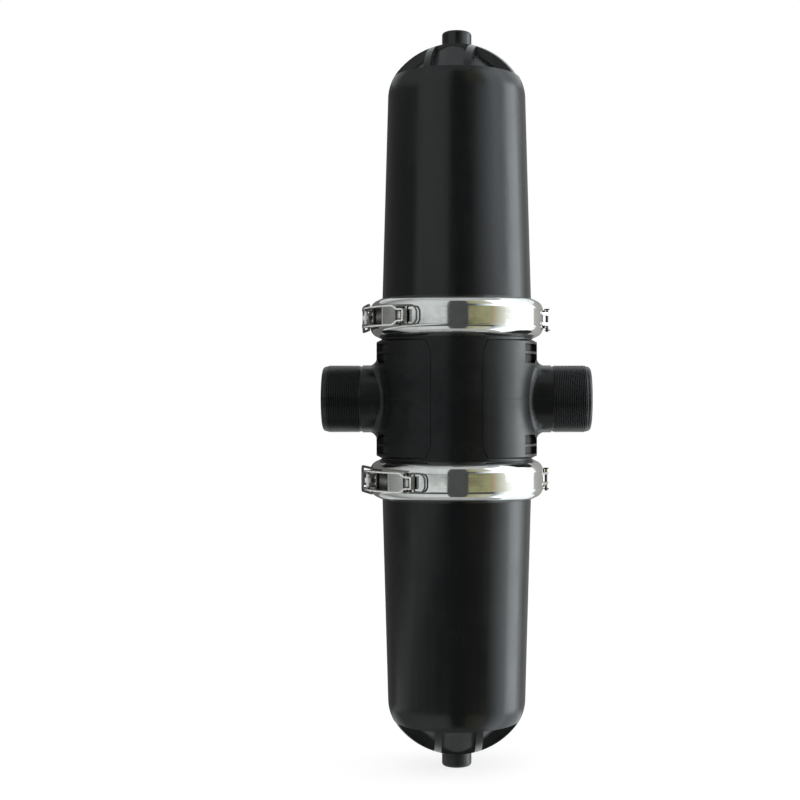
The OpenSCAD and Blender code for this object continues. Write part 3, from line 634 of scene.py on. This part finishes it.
# cards stand round the object, and only gloss shows them; a card spans two heights and two angles from the
# camera, positive to the right, or has rows of a height and two angles; its tones are at the first and the
# second angle; a mirrored card has a copy below the middle
cardSet = {"radius": 3.2, "steps": 14}
nearReach, farReach = 3.1, 3.3
allHeights, bodyHeights, clampHeights, highHeights = (-5.0, 5.0), (-0.222, 0.222), (0.222, 0.37), (1.45, 5.0)
warmHeights, upperHeights, lowerHeights = (-0.5, 0.45), (0.45, 5.0), (-5.0, -0.5)
darkTone, leftTone, sideTone = (0.075, 0.08, 0.08), (0.66, 0.70, 0.70), (0.15, 0.15, 0.145)
topTone, baseTone = (0.50, 0.52, 0.53), (0.42, 0.44, 0.44)
cards = {
    "frontCard": {"heights": allHeights, "angles": (-12, 15), "tones": (darkTone, darkTone)},
    "warmCard": {"heights": warmHeights, "angles": (15, 45), "tones": ((0.30, 0.295, 0.155), (0.36, 0.355, 0.20))},
    "stripCard": {"heights": warmHeights, "angles": (45, 51), "tones": ((0.40, 0.27, 0.18), (0.46, 0.43, 0.29))},
    "creamCard": {"heights": warmHeights, "angles": (51, 80), "tones": ((0.44, 0.43, 0.29), (1.2, 1.24, 1.22)),
                  "radius": 3.15},
    "windowCard": {"heights": upperHeights, "angles": (24, 70), "tones": ((0.12, 0.14, 0.15), (2.3, 2.5, 2.7))},
    "highFlag": {"heights": upperHeights, "angles": (15, 24), "tones": (darkTone, (0.12, 0.14, 0.15))},
    "cornerCard": {"heights": lowerHeights, "angles": (48, 70), "tones": (darkTone, (1.3, 1.4, 1.45))},
    "cornerFlag": {"heights": lowerHeights, "angles": (15, 48), "tones": (darkTone, darkTone)},
    "rightCard": {"heights": allHeights, "angles": (70, 100), "tones": ((1.6, 1.75, 1.8), (2.1, 2.3, 2.4))},
    "sideCard": {"heights": allHeights, "angles": (100, 128), "tones": ((2.1, 2.3, 2.4), (1.0, 1.05, 1.05))},
    "backFlag": {"heights": allHeights, "angles": (128, 182), "tones": ((0.48, 0.48, 0.47), (0.30, 0.30, 0.30))},
    "leftCard": {"rows": [(-1.5, -140, -110), (-1.02, -114, -72), (-0.70, -80, -36), (-0.33, -66, -12),
                          (5.0, -66, -12)], "tones": (leftTone, leftTone)},
    "middleFlag": {"heights": bodyHeights, "angles": (-70, -12), "radius": nearReach,
                   "tones": ((0.015, 0.016, 0.017), (0.17, 0.18, 0.19))},
    "middleSideFlag": {"heights": bodyHeights, "angles": (-178, -70), "radius": nearReach,
                       "tones": ((0.006, 0.006, 0.006), (0.03, 0.032, 0.033))},
    "middleWarmFlag": {"heights": bodyHeights, "angles": (10, 42), "radius": nearReach,
                       "tones": ((0.02, 0.022, 0.023), (0.08, 0.09, 0.09))},
    "middleCreamFlag": {"heights": bodyHeights, "angles": (42, 66), "radius": nearReach,
                        "tones": ((0.20, 0.22, 0.22), (1.1, 1.2, 1.2))},
    "middleRightCard": {"heights": bodyHeights, "angles": (66, 100), "radius": nearReach,
                        "tones": ((3.4, 3.75, 3.8), (3.8, 4.15, 4.2))},
    "middleEndCard": {"heights": bodyHeights, "angles": (100, 128), "radius": nearReach,
                      "tones": ((3.6, 3.9, 3.9), (0.9, 0.93, 0.93))},
    "clampSideFlag": {"heights": clampHeights, "angles": (-178, -100), "radius": nearReach, "mirror": True,
                      "tones": ((0.11, 0.11, 0.105), (0.33, 0.33, 0.32))},
    "clampTurnFlag": {"heights": clampHeights, "angles": (-100, -60), "radius": nearReach, "mirror": True,
                      "tones": ((0.33, 0.33, 0.32), (0.74, 0.78, 0.78))},
    "highWarmCard": {"heights": highHeights, "angles": (15, 51), "radius": nearReach, "mirror": True,
                     "tones": ((0.33, 0.325, 0.19), (0.62, 0.62, 0.50))},
    "highSideCard": {"heights": highHeights, "angles": (-125, -66), "radius": nearReach, "mirror": True,
                     "tones": ((0.20, 0.20, 0.195), (0.62, 0.66, 0.66))},
    "highLeftCard": {"heights": highHeights, "angles": (-66, -12), "radius": nearReach, "mirror": True,
                     "tones": (leftTone, leftTone)},
    "highBackCard": {"heights": highHeights, "angles": (100, 180), "radius": nearReach, "mirror": True,
                     "tones": ((1.3, 1.4, 1.45), (0.9, 0.95, 0.95))},
    "highEdgeCard": {"heights": highHeights, "angles": (-180, -125), "radius": nearReach, "mirror": True,
                     "tones": ((0.85, 0.9, 0.9), (0.4, 0.42, 0.42))},
    "clampEndFlag": {"heights": clampHeights, "angles": (121, 150), "radius": nearReach, "mirror": True,
                     "tones": ((0.50, 0.50, 0.48), (0.36, 0.36, 0.35))},
    "leftFlag": {"heights": allHeights, "angles": (-178, -60), "radius": farReach, "tones": (sideTone, sideTone)},
    "lowFlag": {"heights": (-5.0, 0.5), "angles": (-60, -12), "radius": farReach,
                "tones": ((0.12, 0.12, 0.12), darkTone)},
    "topCard": {"heights": (5.0,), "angles": (-180, 180), "tones": (topTone, topTone)},
    "baseCard": {"heights": (-5.0,), "angles": (-180, 180), "tones": (baseTone, baseTone)},
}


def makeCard(name, card, flip=1):
    steps = cardSet["steps"]
    reach = card.get("radius", cardSet["radius"])
    rows = card.get("rows") or [(height, *card["angles"]) for height in card["heights"]]
    points, tones, faces = [], [], []
    for height, start, end in rows:
        for i in range(steps + 1):
            share = i / steps
            angle = math.radians(start + (end - start) * share)
            points.append((reach * math.sin(angle), -reach * math.cos(angle), flip * height))
            tones.append([a + (b - a) * share for a, b in zip(*card["tones"])])
    if len(rows) == 1:
        faces.append(tuple(range(steps)))
    for row in range(len(rows) - 1):
        for i in range(steps):
            near = row * (steps + 1) + i
            faces.append((near, near + 1, near + steps + 2, near + steps + 1))
    mesh = bpy.data.meshes.new(name)
    mesh.from_pydata(points, [], faces)
    paint = mesh.color_attributes.new("tone", "FLOAT_COLOR", "POINT")
    for spot, tone in zip(paint.data, tones):
        spot.color = (*tone, 1)
    finish = bpy.data.materials.new(name)
    finish.use_nodes = True
    tree = finish.node_tree
    tree.nodes.remove(tree.nodes["Principled BSDF"])
    tone = addNode(tree, "ShaderNodeVertexColor", layer_name="tone").outputs["Color"]
    glow = addNode(tree, "ShaderNodeEmission", {"Color": tone})
    tree.links.new(glow.outputs[0], tree.nodes["Material Output"].inputs["Surface"])
    mesh.materials.append(finish)
    board = bpy.data.objects.new(name, mesh)
    bpy.context.collection.objects.link(board)
    board.visible_camera = False
    board.visible_diffuse = False
    board.visible_shadow = False


for cardName, card in cards.items():
    makeCard(cardName, card)
    if card.get("mirror"):
        makeCard(cardName + "Low", card, -1)

lamps = {
    "rightSoftbox": {"angle": 101, "distance": 2.2, "height": 0.05, "size": (1.1, 2.6), "power": 20,
                     "tint": (0.92, 0.97, 1.0), "inGloss": True},
    "leftFill": {"angle": -48, "distance": 2.6, "height": 0.9, "size": (1.2, 1.2), "power": 10,
                 "tint": (1.0, 1.0, 1.0), "inGloss": False},
}


def makeLamp(name, lamp):
    data = bpy.data.lights.new(name, "AREA")
    data.shape = "RECTANGLE"
    data.size, data.size_y = lamp["size"]
    data.energy = lamp["power"]
    data.color = lamp["tint"]
    light = bpy.data.objects.new(name, data)
    bpy.context.collection.objects.link(light)
    angle = math.radians(lamp["angle"])
    light.location = (lamp["distance"] * math.sin(angle), -lamp["distance"] * math.cos(angle), lamp["height"])
    light.rotation_euler = (-light.location).to_track_quat("-Z", "Y").to_euler()
    light.visible_camera = False
    light.visible_glossy = lamp["inGloss"]


for lampName, lamp in lamps.items():
    makeLamp(lampName, lamp)

worldSet = {"white": 1.0, "ambient": 0.55}
world = bpy.data.worlds.new("studio")
bpy.context.scene.world = world
world.use_nodes = True
worldTree = world.node_tree
rays = addNode(worldTree, "ShaderNodeLightPath").outputs
seen = maths(worldTree, "MAXIMUM", rays["Is Camera Ray"], rays["Is Glossy Ray"])
seen = maths(worldTree, "MAXIMUM", seen, rays["Is Transmission Ray"])
backdrop = worldTree.nodes["Background"]
backdrop.inputs["Color"].default_value = (1, 1, 1, 1)
level = mapped(worldTree, seen, (0.0, 1.0), (worldSet["ambient"], worldSet["white"]))
worldTree.links.new(level, backdrop.inputs["Strength"])
bpy.context.scene.view_settings.view_transform = "Standard"
print("camera, floor and light set")
